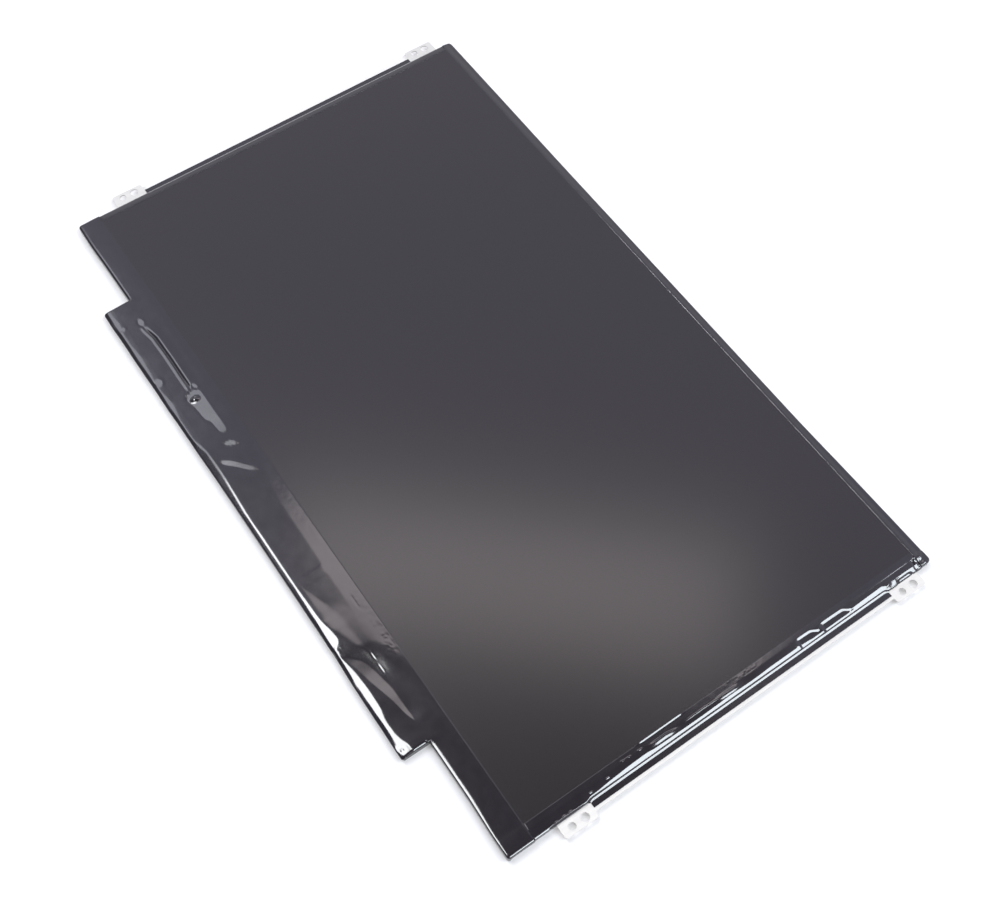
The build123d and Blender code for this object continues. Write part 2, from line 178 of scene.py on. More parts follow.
def crumple(x, y, scale, seed):
    """Sharp folds like crushed film, between 0 and about 1."""
    coarse = 1 - np.abs(ripple(x + 0.4 * y, y, scale, seed))
    fine = 1 - np.abs(ripple(x, y - 0.3 * x, scale / 2, seed + 1))
    return 0.7 * coarse + 0.3 * fine


def fold(x, y, path, left, right, height, taper=0.25):
    """A folded ridge along a path, with flat flanks to its left and right, fading at its two ends."""
    points = np.array(path, float)
    runs = np.diff(points, axis=0)
    lengths = np.hypot(*runs.T)
    before = np.concatenate([[0], np.cumsum(lengths)])
    nearest = np.full(np.shape(x), np.inf)
    side = np.zeros(np.shape(x))
    along = np.zeros(np.shape(x))
    for start, run, length, done in zip(points, runs, lengths, before):
        t = np.clip(((x - start[0]) * run[0] + (y - start[1]) * run[1]) / length**2, 0, 1)
        dx, dy = x - start[0] - t * run[0], y - start[1] - t * run[1]
        distance = np.hypot(dx, dy)
        closer = distance < nearest
        nearest = np.where(closer, distance, nearest)
        side = np.where(closer, run[0] * dy - run[1] * dx, side)
        along = np.where(closer, (done + t * length) / before[-1], along)
    flank = ramp(1 - nearest / np.where(side > 0, left, right), 0.3)
    return height * flank * ramp(along / taper) * ramp((1 - along) / taper)


def bump(x, y, place, radii, height):
    """A smooth oval bump, or a dent where the height is negative."""
    reach = ((x - place[0]) / radii[0]) ** 2 + ((y - place[1]) / radii[1]) ** 2
    return height * np.clip(1 - reach, 0, 1) ** 2


def patch(x, y, top, bottom, tilt, lip=0.35):
    """Film between two lines that falls towards -Y at a tilt, with a lip at each of the lines."""
    high, low = top(x), bottom(x)
    inside = ramp((high - y) / lip) * ramp((y - low) / lip)
    return tan(tilt) * (y - (high + low) / 2) * inside


def spot(x, y, place, radii, turn, tilt, rate=1.6):
    """An oval spot that falls towards -Y at a tilt.

    turn is the angle of its first radius from +X, and rate is how steep its lip is.
    """
    across, up = x - place[0], y - place[1]
    u = (across * math.cos(turn) + up * math.sin(turn)) / radii[0]
    v = (up * math.cos(turn) - across * math.sin(turn)) / radii[1]
    return tan(tilt) * up * ramp(rate * (1 - u * u - v * v))


def hinge(t, soft=0.2):
    """t where t is positive and 0 elsewhere, with the corner between the two rounded over soft."""
    return (t + np.sqrt(t * t + soft * soft)) / 2


def lip(inward, width, tilt=LIP_TILT):
    """Fall of the film towards its inner edge, at a distance inward from that edge."""
    return tan(tilt) * hinge(width - inward, 0.04)


def lean(x, y, top, bottom, tilt, ease, soft=0.12, above=False):
    """Loose film that falls towards -Y at a tilt between two lines, eased back below or above."""
    high, low = top(x), bottom(x)
    gap = np.maximum(high - low, 0.01)
    fall = tan(tilt) * (high - low)
    back = ramp((high + ease - y) / ease) if above else ramp((low - y) / ease)
    return fall * (back - ramp((high - y) / gap, soft))


# Board tape: lines along the strip as keys of (x, y)

# Where the film leaves the level of the face
slope_line = line(
    (-134, -73.3), (-40, -73.3), (-12, -73.6), (-2, -75.4), (4, -75.8), (28, -75.8), (29, -76.5),
    (31, -76.5), (33, -76.0), (46, -76.2), (52, -76.9), (57, -77.6), (61, -77.5), (64, -76.4), (68, -75.2),
    (74, -73.8), (134, -73.3),
)

# Upper and lower limit of the bright rolled band along the strip's outer edge
glow_top = line(
    (-95, -87.0), (-91, -86.7), (-88, -86.3), (-86, -86.6), (-83, -87.2), (-78, -87.2), (-76, -86.9),
    (-72, -86.6), (-68, -86.8), (-64, -87.0), (-61, -87.4), (-56, -87.5), (-53, -86.9), (-49, -86.5),
    (-45, -87.0), (-42, -87.6), (-34, -87.5), (-31, -86.7), (-26, -85.8), (-18, -85.6), (-8, -86.0),
    (0, -86.4), (4, -86.5), (10, -86.4), (20, -86.45), (28, -86.45), (36, -86.3), (44, -86.0), (49, -85.1),
    (52, -84.8), (53.4, -85.4), (55, -87.1), (57.5, -87.2), (60, -86.8), (66, -85.9), (72, -85.6),
    (77, -85.7), (82, -86.5), (86, -86.4), (89, -85.8), (91, -85.0), (95, -84.6),
)
glow_bottom = line(
    (-95, -87.75), (-42, -87.75), (-34, -87.7), (-30, -87.0), (-26, -86.3), (-16, -86.1), (-6, -86.5),
    (0, -86.8), (4, -86.8), (28, -86.8), (40, -87.15), (50, -87.7), (95, -87.75),
)
glow_tilt = line((-95, 5.5), (-10, 5.5), (4, 7.5), (95, 7.5))

# Tilt of the taut film between the face and the bright band, and place and tilt of the dark fold in it
taut_tilt = line(
    (-95, 2.0), (-36, 2.0), (-30, 1.5), (-25, 0.85), (-16, 0.72), (-10, 0.95), (-5, 1.33), (0, 1.62),
    (28, 1.72), (40, 1.7), (46, 0.7), (50, 0.3), (58, 0.3), (62, 1.1), (66, 1.9), (71, 1.52), (76, 1.45),
    (82, 1.75), (87, 1.72), (92, 1.15), (95, 0.8),
)
dark_top = line((42, -85.9), (46, -85.4), (50, -84.0), (56, -82.0), (61.8, -79.5))
dark_tilt = line((43, 0.0), (46, 1.6), (58, 2.0), (62, 1.2), (66, 0.0))

# Loose parts at the left: pale blister beside the crease, and a slanted streak
blister_top = line(
    (-50.6, -78.6), (-49.6, -76.4), (-48, -75.7), (-31.3, -75.7), (-30.0, -76.4), (-29.6, -77.4),
)
blister_bottom = line(
    (-50.6, -78.6), (-49.4, -81.7), (-47.6, -82.4), (-44, -81.6), (-38, -81.0), (-35.5, -79.8),
    (-31.0, -79.3), (-30.0, -78.5), (-29.6, -77.4),
)
oval_top = line((-27.2, -79.0), (-26.7, -77.1), (-25.6, -75.9), (-24.2, -75.7), (-23.4, -76.9))
oval_bottom = line((-27.2, -79.0), (-26.7, -80.3), (-25.2, -80.2), (-24.2, -79.0), (-23.4, -76.9))
streak_top = line((-22.2, -84.0), (-20.8, -81.7), (-16.2, -77.5), (-12.9, -75.4), (-11.0, -75.6))
streak_bottom = line((-22.2, -84.0), (-20.4, -84.6), (-15.8, -81.0), (-12.4, -77.9), (-11.0, -75.6))

# Loose parts at the right: shelf above the pinch, leaf beside it and two short folds
shelf_top = line((30, -85.0), (36, -83.0), (42, -81.0), (48, -79.6), (58, -79.0), (61.8, -79.4))
shelf_bottom = line(
    (30, -85.2), (36, -85.5), (42, -85.5), (46, -85.0), (50, -84.0), (56, -82.0), (61.8, -79.5),
)
shelf_tilt = line((30, -0.7), (38, -1.4), (44, -1.3), (48, -0.8), (54, -0.7), (62, -1.0))
leaf_top = line(
    (57, -87.2), (60, -84.0), (63.5, -81.5), (70, -80.0), (77, -79.3), (84, -79.3), (87.5, -79.6),
)
leaf_bottom = line((57, -87.2), (62, -86.0), (70, -84.0), (77, -82.1), (83, -80.9), (87.5, -79.6))
leaf_tilt = line((57, -3.0), (63, -3.1), (70, -3.4), (80, -4.2), (88, -5.0))

# Slight rise of the level part before the film leaves the face
brow = line((48, 0.0), (58, 0.03), (62, 0.06), (67.5, 0.09), (72.5, 0.0))

# How far the loose film stands out beyond the strip's edge, and beyond the body's edge beside the strip
strip_bulge = line(
    (-95, 0.55), (-60, 0.45), (-40, 0.35), (-15, 0.0), (0, -0.1), (30, -0.05), (45, 0.1), (60, 0.35),
    (95, 0.65),
)
near_bulge = line(
    (-134, 0.15), (-124, 0.35), (-112, 0.2), (-96, 0.15), (-94.5, 0), (93.5, 0), (95, 0.5), (112, 0.55),
    (120, 0.75), (128, 1.0), (135, 1.0),
)

# Width and tilt of the rim along the body's edge beside the strip, dark at the left and bright at the right
rim_width = line((-134, 0.35), (-95, 0.35), (94, 0.7), (114, 0.7), (122, 0.5), (127, 0.3), (134, 0.2))
rim_tilt = line((-95, 24.0), (94, 8.5))

BODY_TILT = 2.2
EDGE_Z = 2.95
EDGE_Y = -88.0
STRIP_END_TILT = 18.0
STRIP_END_INSET = 0.7
STRIP_END_REACH = 1.2
END_TILT = 15.0
END_INSET = 0.4
FOLD_EASE = 0.6


def board_height(x, y):
    """Top of the board tape over the screen's edge, the driver ledge and the board strip."""
    start, top, bottom = slope_line(x), glow_top(x), glow_bottom(x)
    fold_line = dark_top(x)
    taut, dark, glow = tan(taut_tilt(x)), tan(dark_tilt(x)), tan(glow_tilt(x))
    crest = TAPE_TOP - taut * (start - top) - dark * np.maximum(fold_line - top, 0)
    edge = (crest - glow * (top - bottom) - EDGE_Z) / (bottom - EDGE_Y)

    # Taut film, dark fold, bright band and outer edge, each with a slope of its own
    folded = ramp((fold_line - top) / FOLD_EASE)
    fold_end = hinge(np.minimum(fold_line, top) - y)
    strip = -taut * hinge(start - y)
    strip = strip - dark * (hinge(fold_line - y) - (1 - folded) * fold_end)
    strip = strip - (glow - taut - dark * folded) * hinge(top - y)
    strip = strip - (edge - glow) * hinge(bottom - y)

    # Body beside the strip, and the ends of strip and body
    rim = BODY_NEAR + BODY_ROLL - near_bulge(x) + rim_width(x)
    body = -tan(BODY_TILT) * hinge(start - y, 0.8)
    in_strip = between(x, film_low[0] - 1.0, film_high[0] + 0.6, 3.0)
    beside = 1 - between(x, film_low[0] - 0.4, film_high[0] + 0.2, 0.8)
    z = TAPE_TOP + body + (strip - body) * in_strip
    z = z - (tan(rim_tilt(x)) - tan(BODY_TILT)) * beside * hinge(rim - y)
    past_end = np.minimum(hinge(x - film_high[0] + STRIP_END_INSET), STRIP_END_REACH)
    z = z - tan(STRIP_END_TILT) * ramp((BODY_NEAR - STRIP_END_INSET - y) / 0.6) * past_end
    z = z - tan(END_TILT) * hinge(x - right_inset + END_INSET)
    z = z + brow(x) * (ramp((-71.3 - y) / 4.5) - ramp((-76.3 - y) / 5.0))

    # Crease where the film sags between body and board
    crease = np.array(((-83, -80.2), (-80, -79.8), (-76, -79.0), (-66, -78.8), (-58, -78.9), (-50, -78.9)))
    z = z + fold(x, y, crease + (0, 1.2), 3.0, 0.8, 0.09, 0.15)
    z = z + fold(x, y, crease, 0.55, 0.5, -0.36, 0.25)
    z = z + fold(x, y, crease - (0, 0.5), 0.3, 1.0, 0.1, 0.1)
    z = z + spot(x, y, (-84.2, -79.9), (2.2, 1.6), 0.0, 3.2)
    z = z + spot(x, y, (-85.1, -86.2), (0.7, 1.4), 0.0, 3.0)
    z = z + spot(x, y, (-59.2, -86.4), (1.9, 2.2), 0.0, 3.0)

    # Pale blister, the raised dark knot on it, and the pinch at the end of the crease
    z = z + patch(x, y, blister_top, blister_bottom, 2.8)
    z = z + spot(x, y, (-51.2, -77.0), (1.9, 1.2), 0.3, 3.4)
    z = z + bump(x, y, (-46.7, -79.6), (1.3, 2.0), 0.4)
    z = z + fold(x, y, ((-54.0, -78.6), (-51.8, -78.7)), 0.4, 0.4, -0.12, 0.3)

    # Oval spot and slanted streak
    z = z + patch(x, y, oval_top, oval_bottom, 3.6, 0.3)
    z = z + patch(x, y, streak_top, streak_bottom, 3.4, 0.3)

    # Shelf, leaf and short folds around the pinch in the outer edge
    z = z + lean(x, y, shelf_top, shelf_bottom, shelf_tilt(x), 7.0, 0.35)
    z = z + lean(x, y, leaf_top, leaf_bottom, leaf_tilt(x), 9.5, above=True)
    z = z + spot(x, y, (62.6, -78.8), (2.2, 0.38), -0.04, 6.0)
    z = z + spot(x, y, (67.5, -78.9), (2.6, 0.34), 0.02, 6.0)
    z = z + fold(x, y, ((42.0, -74.1), (48.0, -74.2)), 0.4, 0.4, -0.02)
    for place in ((55.0, -85.4), (56.0, -86.6)):
        z = z + bump(x, y, place, (0.6, 0.6), 0.03)

    # Curl at the strip's right corner, adhesive marks, worn inner edge and the film's own waves
    curl = between(x, 91.0, 96, 1.6) * between(y, -90, -84.8, 1.8)
    z = z + 0.12 * curl * (crumple(x, y, 2.6, 11) - 0.5)
    z = z + bump(x, y, (91.9, -87.3), (0.6, 1.0), -0.1)
    marks = between(x, 58.6, 65.5, 2.0) * between(y, -74.2, -71.6, 1.0)
    z = z + 0.014 * marks * ripple(x, y, 0.5, 12)
    rough = between(y, -74.0, -70.0, 0.6) * in_strip
    z = z + 0.004 * rough * ripple(x, y, 0.9, 13)
    worn = ripple(x, y * 0, 0.9, 14) * ramp((x - 10) / 40)
    z = z - lip(board_high[1] - y, BOARD_LIP) * (1 + 0.3 * worn)
    z = z + 0.03 * ramp((x - right_low[0]) / 0.5)
    return z + 0.01 * ripple(x, y, 6.5, 15) + 0.003 * ripple(x, y, 2.2, 16)


# Side tapes: keys along y, with distances measured outward from the middle of the panel

# Right side: early step at the face film's edge, and the limits and tilt of the bright shoulder
step_drop = line(
    (-80, 0.0), (24, 0.0), (27.5, 0.02), (29.0, 0.18), (33.3, 0.2), (35.8, 0.18), (36.8, 0.02), (38.2, 0.2),
    (46, 0.2), (48.6, 0.17), (49.6, 0.0), (80, 0.0),
)
step_start = line(
    (-80, 130.9), (28, 130.6), (33.3, 130.7), (36.3, 132.0), (37.0, 131.4), (38.4, 130.9), (45.8, 131.0),
    (48.8, 132.5), (52, 131.2), (80, 130.9),
)
shoulder_start = line(
    (-80, 133.5), (-60, 133.4), (-52, 133.5), (-48, 133.4), (-44, 133.1), (-40, 132.9), (-36, 132.7),
    (-30, 132.6), (-27, 132.9), (-10, 133.1), (0, 133.0), (10, 133.1), (18, 132.9), (26, 132.9),
    (31, 133.1), (33, 133.3), (47, 133.3), (50, 132.7), (60, 132.5), (66, 132.2), (80, 132.2),
)
shoulder_end = line(
    (-80, 133.9), (60, 133.9), (66, 133.8), (67.5, 132.9), (71.5, 132.9), (73, 133.8), (80, 133.9),
)
shoulder_tilt = line((-80, 14), (-66, 14), (-64, 27), (-56, 27), (-52, 14), (80, 14))
ear_shift = line((-80, 0.6), (-53, 0.6), (-50.5, 0.0), (61, 0.0), (63, 0.8), (80, 0.8))
STEP_WIDTH = 0.9
SPAN_DROP = 0.12
VALLEY = 0.35
FILLET = 0.7
FILLET_DROP = 0.16


def right_height(x, y):
    """Top of the right tape, from the face over the shoulder and down to the bracket's flange."""
    begin, end = shoulder_start(y), shoulder_end(y)
    step = step_drop(y)
    shoulder = (end - begin) * tan(shoulder_tilt(y))
    valley = SIDE_TOP - LEDGE_TOP - step - SPAN_DROP - shoulder - FILLET_DROP
    out = x - ear_shift(y) * ramp((x - 131.5) / 1.5)
    z = SIDE_TOP - step * ramp((x - step_start(y)) / STEP_WIDTH, 0.12)
    z = z - SPAN_DROP * ramp((out - face_high[0]) / (begin - face_high[0]))
    z = z - shoulder * ramp((out - begin) / (end - begin), 0.12)
    z = z - valley * ramp((out - end) / VALLEY)
    z = z - FILLET_DROP * ramp((out - end - VALLEY) / FILLET)

    # Face film's edge under the tape, and loose patches beside the shoulder
    z = z + fold(x, y, ((131.0, 49.5), (131.05, 62), (131.0, 75)), 0.3, 0.35, 0.03, 0.1)
    z = z + fold(x, y, ((132.0, -5), (132.05, 1), (132.2, 7)), 1.1, 1.1, 0.125, 0.35)
    z = z + fold(x, y, ((131.7, -29.5), (131.6, -22), (132.3, -16.5)), 0.7, 1.3, 0.14, 0.35)
    z = z + fold(x, y, ((131.7, -17), (131.6, -8), (131.9, 0)), 0.5, 0.3, 0.04, 0.2)
    for px, py in ((130.8, -31), (130.7, -35), (130.6, -37), (132.1, -43.5), (132.7, -50), (132.7, 27.5)):
        z = z + fold(x, y, ((px - 0.1, py - 1), (px + 0.1, py + 1)), 0.3, 0.35, 0.07, 0.4)
    for place in ((133.9, -58), (133.9, -60.3), (134.1, -63), (131.2, -71.4)):
        z = z + bump(x, y, place, (0.7, 0.7), 0.12)

    # Worn inner edge, lifted for a stretch, and the adhesive's texture beside it
    worn = ripple(x * 0, y, 0.9, 21)
    lifted = between(y, -30.5, -14.0, 3.0)
    inward = x - right_low[0]
    z = z - lip(inward, SIDE_LIP) * (1 - lifted) * (1 + 0.4 * worn)
    z = z + tan(16) * lifted * hinge(0.5 - inward, 0.1)
    z = z - tan(1.0) * hinge(131 - x) * between(y, 6, 50, 8)
    z = z + 0.012 * between(x, 129, 131, 0.4) * between(y, 1, 14, 4) * ripple(x, y, 0.55, 22)
    z = z + far_corner(x, y)

    # Crushed film beside the far ear
    ear = between(x, 133.1, 134.5, 0.5) * between(y, 62.0, 68.0, 1.0)
    z = z + 0.22 * ear * (crumple(x, y, 1.6, 25) - 0.6)
    return z + 0.008 * ripple(x, y, 5.0, 29) + 0.004 * ripple(x, y, 1.6, 30)


def far_corner(x, y):
    """Crushed folds where the far tape and the right tape meet at the corner."""
    z = fold(x, y, ((131.1, 75.3), (131.2, 77.0), (131.0, 78.8)), 0.4, 1.7, 0.42, 0.12)
    z = z + fold(x, y, ((131.2, 74.9), (132.8, 74.6), (134.8, 74.5)), 0.45, 0.45, -0.25, 0.15)
    z = z + fold(x, y, ((133.4, 75.6), (133.2, 76.8), (133.6, 78.0)), 0.3, 0.4, -0.25)
    return z + fold(x, y, ((133.9, 75.4), (133.8, 79.0)), 0.3, 0.7, 0.17, 0.2)


LEFT_SHOULDER = 133.15
LEFT_BRIM = 0.5
LEFT_BRIM_TILT = 13.5
LEFT_FALL = 0.5
left_lip = line((-70, 10), (-50, 11), (0, 14), (40, 18), (76, 21))


def left_height(x, y):
    """Top of the left tape, drawn at the right: a plain fold over the shoulder down to the flange."""
    edge = -face_low[0]
    drop = SIDE_TOP - LEDGE_TOP
    brim = LEFT_BRIM * tan(LEFT_BRIM_TILT)
    z = SIDE_TOP - 0.15 * drop * ramp((x - edge) / (LEFT_SHOULDER - edge))
    z = z - brim * ramp((x - LEFT_SHOULDER) / LEFT_BRIM, 0.1)
    z = z - (0.85 * drop - brim) * ramp((x - LEFT_SHOULDER - LEFT_BRIM) / LEFT_FALL, 0.2)
    worn = ripple(x * 0, y, 1.1, 31)
    z = z - lip(x + left_high[0], SIDE_LIP, left_lip(y)) * (1 + 0.2 * worn)
    return z + 0.012 * ripple(x, y, 6.0, 32) + 0.004 * ripple(x, y, 1.8, 33)


def far_height(x, y):
    """Top of the far tape, from the face down to its rolled outer edge."""
    short_of_corner = ramp((131.1 - x) / 0.5)
    fall = ramp((y - face_high[1]) / (BODY_FAR - BODY_ROLL - face_high[1]) * 0.8)
    z = SIDE_TOP - 0.3 * fall * short_of_corner
    worn = ripple(x, y * 0, 1.0, 41)
    z = z - lip(y - far_low[1], FAR_LIP, FAR_LIP_TILT) * (1 + 0.15 * worn) * short_of_corner
    z = z + far_corner(x, y) - tan(END_TILT) * hinge(x - right_inset + END_INSET)
    return z + 0.01 * ripple(x, y, 5.5, 42) + 0.004 * ripple(x, y, 1.7, 43)


def spread(low, high, step):
    """Evenly spaced places from low to high, about step apart."""
    return np.linspace(low, high, max(2, round((high - low) / step) + 1))


def rounded(x, y, corner, radius):
    """Places near a square corner, moved so that the corner becomes a quarter circle."""
    sx, sy = np.sign(corner)
    a = (x * sx - abs(corner[0]) + radius) / radius
    b = (y * sy - abs(corner[1]) + radius) / radius
    near = (a > 0) & (b > 0)
    a, b = np.clip(a, 0, 1), np.clip(b, 0, 1)
    round_a, round_b = a * np.sqrt(1 - b * b / 2), b * np.sqrt(1 - a * a / 2)
    new_x = sx * (abs(corner[0]) - radius + radius * round_a)
    new_y = sy * (abs(corner[1]) - radius + radius * round_b)
    return np.where(near, new_x, x), np.where(near, new_y, y)


def drape(xs, ys, inside, on_face, height, roll, hem, corners=(), shape=None):
    """Points and faces of a film over the plan cells for which inside holds.

    The film's edge on the screen's face stays as cut, and its other edges roll down to the hem. The plan's
    corners are rounded first, and then shape moves its places.
    """
    plan_x, plan_y = np.meshgrid(xs, ys, indexing="ij")
    mid_x, mid_y = np.meshgrid((xs[1:] + xs[:-1]) / 2, (ys[1:] + ys[:-1]) / 2, indexing="ij")
    i, j = np.nonzero(inside(mid_x, mid_y))
    cell = ((i, j), (i + 1, j), (i + 1, j + 1), (i, j + 1))
    used = np.zeros(plan_x.shape, bool)
    for place in cell:
        used[place] = True
    index = np.full(plan_x.shape, -1)
    index[used] = np.arange(used.sum())
    faces = np.stack([index[place] for place in cell], 1)
    x, y = plan_x[used], plan_y[used]
    kept = on_face(x, y)
    for corner, radius in corners:
        x, y = rounded(x, y, np.array(corner), radius)
    if shape:
        x, y = shape(x, y)
    points = [np.stack([x, y, height(x, y)], 1)]
    count = len(x)

    edges = np.concatenate([faces[:, [k, (k + 1) % 4]] for k in range(4)])
    both = {(a, b) for a, b in edges.tolist()}
    after = {a: b for a, b in both if (b, a) not in both and not (kept[a] and kept[b])}
    ends = set(after.values())
    starts = [a for a in after if a not in ends]
    quads = [faces]
    for start in sorted(starts):
        chain = [start]
        while chain[-1] in after:
            chain.append(after[chain[-1]])
        chain = np.array(chain)
        edge = points[0][chain]
        along = np.gradient(edge[:, :2], axis=0)
        along = along / np.linalg.norm(along, axis=1)[:, None]
        out = np.stack([along[:, 1], -along[:, 0]], 1)
        radius = roll(edge[:, 0], edge[:, 1])
        low = hem(edge[:, 0], edge[:, 1])
        probe = edge[:, :2] + SHEET * out
        fall = (height(edge[:, 0], edge[:, 1]) - height(probe[:, 0], probe[:, 1])) / SHEET
        first = np.clip(np.arctan(fall), 0, math.radians(80))
        rows = [edge]
        for k in range(1, ROLL_STEPS + 1):
            angle = first + (math.pi / 2 - first) * k / ROLL_STEPS
            reach = radius * (np.sin(angle) - np.sin(first))
            drop = radius * (np.cos(first) - np.cos(angle))
            z = np.maximum(edge[:, 2] - drop, low)
            rows.append(np.column_stack([edge[:, :2] + reach[:, None] * out, z]))
        last = rows[-1]
        for k in range(1, HEM_STEPS + 1):
            z = last[:, 2] + (low - last[:, 2]) * k / HEM_STEPS
            rows.append(np.column_stack([last[:, :2], z]))
        ids = chain
        for row in rows[1:]:
            new = count + np.arange(len(chain))
            points.append(row)
            count += len(chain)
            quads.append(np.stack([ids[:-1], new[:-1], new[1:], ids[1:]], 1))
            ids = new
    return np.concatenate(points), np.concatenate(quads)


def tape_piece(name, node, points, faces, material):
    """A tape film as its own closed piece, standing for its CAD node."""
    mesh = bpy.data.meshes.new(name)
    mesh.from_pydata((points * MM).tolist(), [], faces.tolist())
    mesh.polygons.foreach_set("use_smooth", [True] * len(mesh.polygons))
    mesh.materials.append(material)
    piece = bpy.data.objects.new(name, mesh)
    bpy.context.scene.collection.objects.link(piece)
    shell = piece.modifiers.new("thickness", "SOLIDIFY")
    shell.thickness = SHEET * MM
    shell.offset = -1
    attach(piece, "root")
    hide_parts(node)
    return piece


def finish(name, colour, shade, scale, roughness, spread_by, bump_depth, stretch=(1, 1, 1), **sockets):
    """A procedural material: colour and gloss that vary over the surface, and a fine relief.

    scale is the size of the variation and bump_depth the height of the relief, both in millimetres.
    """
    material = bpy.data.materials.new(name)
    material.use_nodes = True
    tree = material.node_tree
    shader = tree.nodes["Principled BSDF"]
    place = tree.nodes.new("ShaderNodeTexCoord")
    stretched = tree.nodes.new("ShaderNodeMapping")
    stretched.inputs["Scale"].default_value = stretch
    grain = tree.nodes.new("ShaderNodeTexNoise")
    grain.inputs["Scale"].default_value = 1 / (scale * MM)
    grain.inputs["Detail"].default_value = 4
    tint = tree.nodes.new("ShaderNodeValToRGB")
    tint.color_ramp.elements[0].position = 0.3
    tint.color_ramp.elements[0].color = (*shade, 1)
    tint.color_ramp.elements[1].position = 0.7
    tint.color_ramp.elements[1].color = (*colour, 1)
    gloss = tree.nodes.new("ShaderNodeMapRange")
    gloss.inputs["To Min"].default_value = roughness - spread_by
    gloss.inputs["To Max"].default_value = roughness + spread_by
    relief = tree.nodes.new("ShaderNodeBump")
    relief.inputs["Distance"].default_value = bump_depth * MM
    tree.links.new(place.outputs["Object"], stretched.inputs["Vector"])
    tree.links.new(stretched.outputs["Vector"], grain.inputs["Vector"])
    tree.links.new(grain.outputs["Fac"], tint.inputs["Fac"])
    tree.links.new(grain.outputs["Fac"], gloss.inputs["Value"])
    tree.links.new(grain.outputs["Fac"], relief.inputs["Height"])
    tree.links.new(tint.outputs["Color"], shader.inputs["Base Color"])
    tree.links.new(gloss.outputs["Result"], shader.inputs["Roughness"])
    tree.links.new(relief.outputs["Normal"], shader.inputs["Normal"])
    for socket, value in sockets.items():
        shader.inputs[socket.replace("_", " ")].default_value = value
    return material


black_tape = finish(
    "black_tape", (0.0135, 0.0125, 0.0172), (0.0105, 0.0095, 0.0133),
    scale=4.0, roughness=0.12, spread_by=0.03, bump_depth=0.004, IOR=1.85,
)
polariser = finish(
    "polariser_film", (0.013, 0.012, 0.0135), (0.0115, 0.0105, 0.012),
    scale=0.35, roughness=0.185, spread_by=0.02, bump_depth=0.002, IOR=1.75,
)
bracket = finish(
    "bracket_steel", (0.84, 0.825, 0.78), (0.79, 0.77, 0.73),
    scale=1.2, roughness=0.4, spread_by=0.06, bump_depth=0.003, stretch=(1, 0.15, 1), Metallic=0.15,
)
# Painted shade: the left bracket gets a darker copy of the bracket steel, for its dimmer light
left_rail_painted_shade = finish(
    "bracket_steel_left_painted_shade", (0.75, 0.745, 0.71), (0.69, 0.685, 0.65),
    scale=1.2, roughness=0.4, spread_by=0.06, bump_depth=0.003, stretch=(1, 0.15, 1), Metallic=0.15,
)
plate_metal = finish(
    "plate_metal", (0.66, 0.67, 0.655), (0.56, 0.57, 0.555),
    scale=0.8, roughness=0.34, spread_by=0.06, bump_depth=0.004, stretch=(0.06, 1, 1), Metallic=0.9,
)
frame_plastic = finish(
    "frame_plastic", (0.03, 0.03, 0.032), (0.02, 0.02, 0.022),
    scale=0.6, roughness=0.5, spread_by=0.06, bump_depth=0.01,
)
white_film = finish(
    "white_film", (0.9, 0.91, 0.91), (0.86, 0.87, 0.87),
    scale=3.0, roughness=0.15, spread_by=0.04, bump_depth=0.002,
)
guide_acrylic = finish(
    "guide_acrylic", (0.86, 0.9, 0.9), (0.8, 0.86, 0.86),
    scale=1.5, roughness=0.1, spread_by=0.03, bump_depth=0.004, Transmission_Weight=0.8, IOR=1.49,
)
diffuser_film = finish(
    "diffuser_film", (0.9, 0.9, 0.89), (0.86, 0.86, 0.85),
    scale=0.3, roughness=0.55, spread_by=0.05, bump_depth=0.006,
)
prism_film = finish(
    "prism_film", (0.82, 0.84, 0.87), (0.76, 0.78, 0.82),
    scale=0.2, roughness=0.22, spread_by=0.05, bump_depth=0.02, stretch=(0.02, 1, 1),
)
flex_film = finish(
    "flex_film", (0.52, 0.28, 0.06), (0.42, 0.21, 0.04),
    scale=1.2, roughness=0.35, spread_by=0.06, bump_depth=0.004,
)
diode_resin = finish(
    "diode_resin", (0.92, 0.87, 0.66), (0.86, 0.78, 0.5),
    scale=0.6, roughness=0.3, spread_by=0.05, bump_depth=0.004,
)
bond_foam = finish(
    "bond_foam", (0.024, 0.024, 0.024), (0.015, 0.015, 0.015),
    scale=0.15, roughness=0.75, spread_by=0.08, bump_depth=0.03,
)
cell_glass = finish(
    "cell_glass", (0.1, 0.12, 0.12), (0.07, 0.085, 0.085),
    scale=2.0, roughness=0.12, spread_by=0.05, bump_depth=0.003, IOR=1.52,
)
chip_resin = finish(
    "chip_resin", (0.034, 0.034, 0.036), (0.024, 0.024, 0.026),
    scale=0.12, roughness=0.55, spread_by=0.06, bump_depth=0.008,
)
board_mask = finish(
    "board_mask", (0.025, 0.17, 0.075), (0.014, 0.12, 0.05),
    scale=0.5, roughness=0.35, spread_by=0.06, bump_depth=0.006,
)
ferrite = finish(
    "ferrite", (0.18, 0.18, 0.19), (0.12, 0.12, 0.13),
    scale=0.2, roughness=0.6, spread_by=0.08, bump_depth=0.02,
)
capacitor_body = finish(
    "capacitor_body", (0.52, 0.4, 0.27), (0.42, 0.3, 0.19),
    scale=0.3, roughness=0.45, spread_by=0.06, bump_depth=0.006,
)
socket_resin = finish(
    "socket_resin", (0.82, 0.78, 0.68), (0.76, 0.71, 0.6),
    scale=0.4, roughness=0.45, spread_by=0.05, bump_depth=0.006,
)
shell_steel = finish(
    "shell_steel", (0.74, 0.74, 0.73), (0.66, 0.66, 0.65),
    scale=0.4, roughness=0.3, spread_by=0.06, bump_depth=0.003, stretch=(0.2, 1, 1), Metallic=1,
)
contact_metal = finish(
    "contact_metal", (0.86, 0.67, 0.29), (0.76, 0.56, 0.22),
    scale=0.3, roughness=0.25, spread_by=0.05, bump_depth=0.002, Metallic=1,
)
